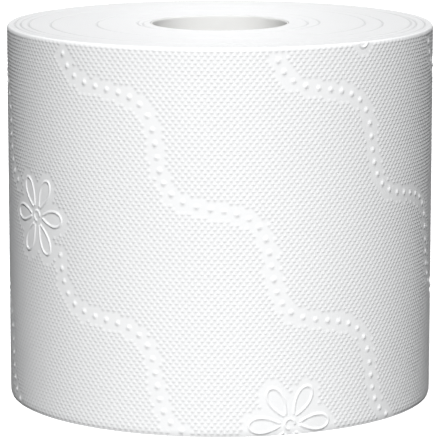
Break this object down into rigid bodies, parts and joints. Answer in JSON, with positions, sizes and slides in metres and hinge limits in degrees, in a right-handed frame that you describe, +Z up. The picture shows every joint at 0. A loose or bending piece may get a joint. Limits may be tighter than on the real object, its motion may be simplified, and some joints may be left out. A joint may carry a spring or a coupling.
{
  "type": "toilet paper roll",
  "caption": "Toilet paper roll: white embossed tissue with dotted waves and daisies, wound on a card tube whose open bore takes a holder's rod.",
  "frame": {"origin": "on the roll's axis, in the plane of the end that it stands on", "axes": "+Z up along the roll's axis, -Y towards the side that the picture shows as the front"},
  "size_m": [0.1144, 0.1147, 0.1],
  "materials": {
    "core_card": "matte",
    "tissue": "matte"
  },
  "bodies": {
    "root": {"core_tube": "core_card", "wound_paper": "tissue"}
  },
  "joints": []
}
